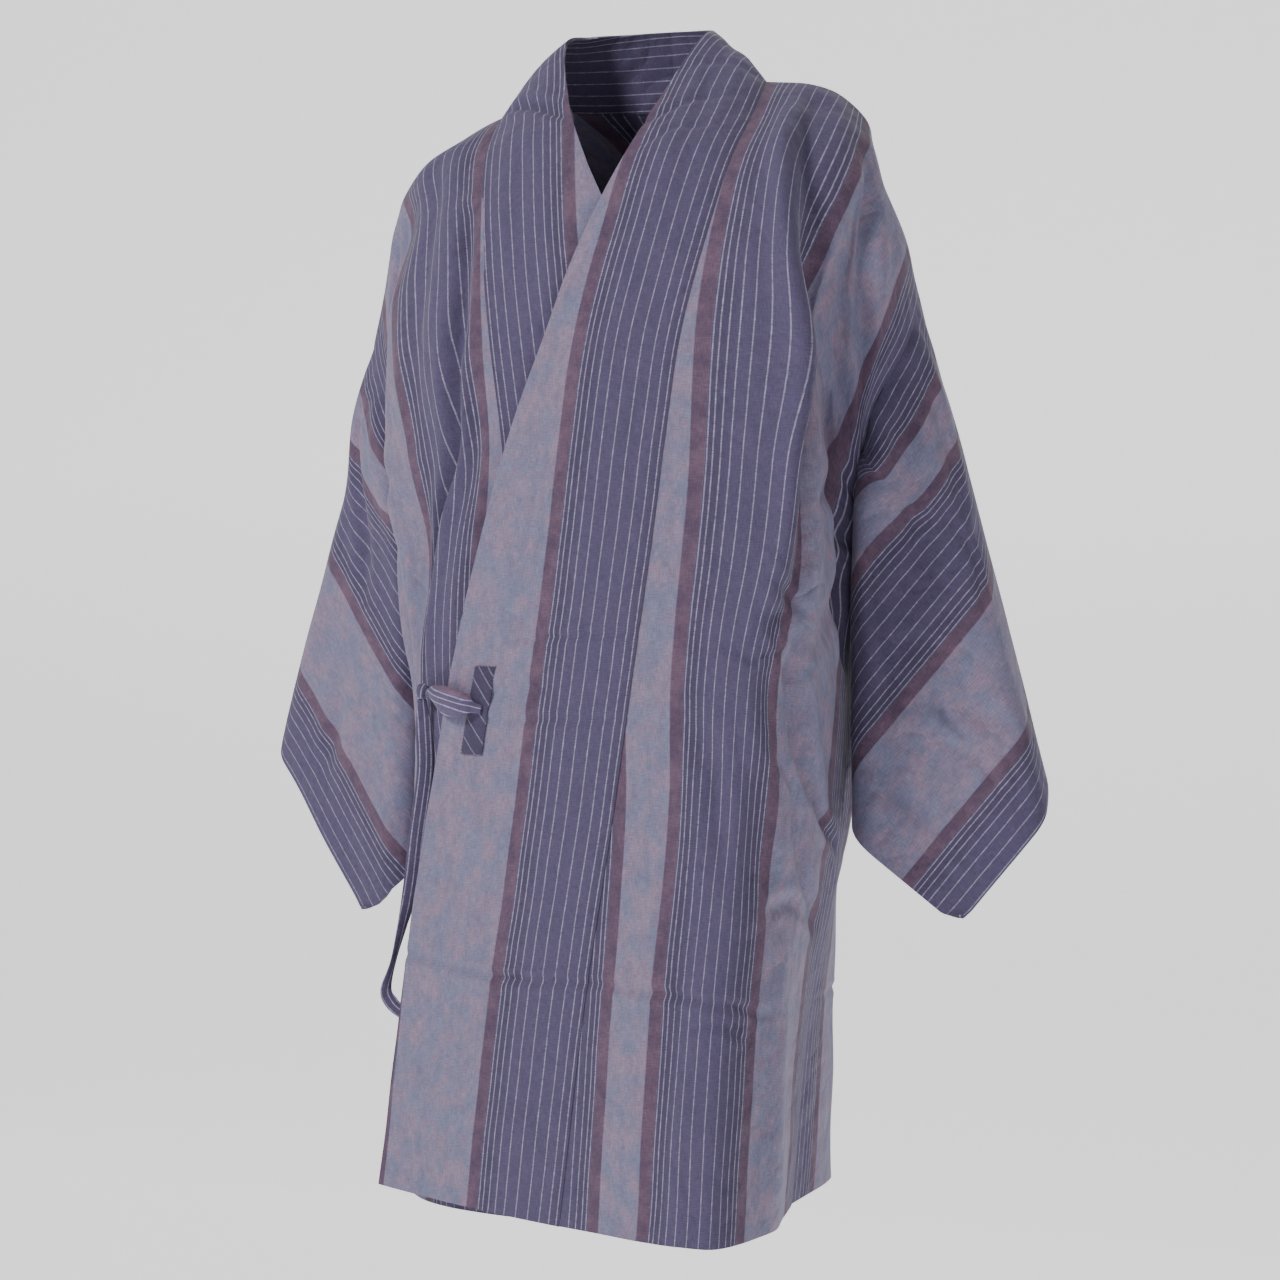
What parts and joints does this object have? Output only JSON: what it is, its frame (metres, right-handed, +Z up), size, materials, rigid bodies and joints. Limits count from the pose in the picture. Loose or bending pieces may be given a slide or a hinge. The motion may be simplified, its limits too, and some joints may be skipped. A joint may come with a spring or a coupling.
{
  "type": "kimono_coat",
  "caption": "Half-length kimono coat of matt striped cloth in blue-grey, purple and plum, worn form with no wearer, wide collar strip, overlap tied at the right hip",
  "frame": {"origin": "point between the shoulders, beside the neck, where the wearer holds the coat up", "axes": "+Z up along the coat's length, -Y the coat's front, +X the wearer's left"},
  "size_m": [0.6671, 0.43, 0.9411],
  "materials": {
    "left_front": "matte",
    "right_front_upper": "matte",
    "right_front_lower": "matte",
    "left_back": "matte",
    "right_back": "matte",
    "left_overlap_strip": "matte",
    "right_underlap_strip": "matte",
    "left_sleeve": "matte",
    "right_sleeve": "matte",
    "tie_tab": "matte",
    "tie_loop": "matte",
    "tie_knot": "matte",
    "tie_hanging_end": "matte"
  },
  "bodies": {
    "root": {"left_front": "left_front", "right_front_upper": "right_front_upper", "right_front_lower": "right_front_lower", "left_back": "left_back", "right_back": "right_back", "left_overlap_strip": "left_overlap_strip", "right_underlap_strip": "right_underlap_strip", "left_sleeve": "left_sleeve", "right_sleeve": "right_sleeve", "tie_tab": "tie_tab", "tie_loop": "tie_loop", "tie_knot": "tie_knot", "tie_hanging_end": "tie_hanging_end"}
  },
  "joints": []
}
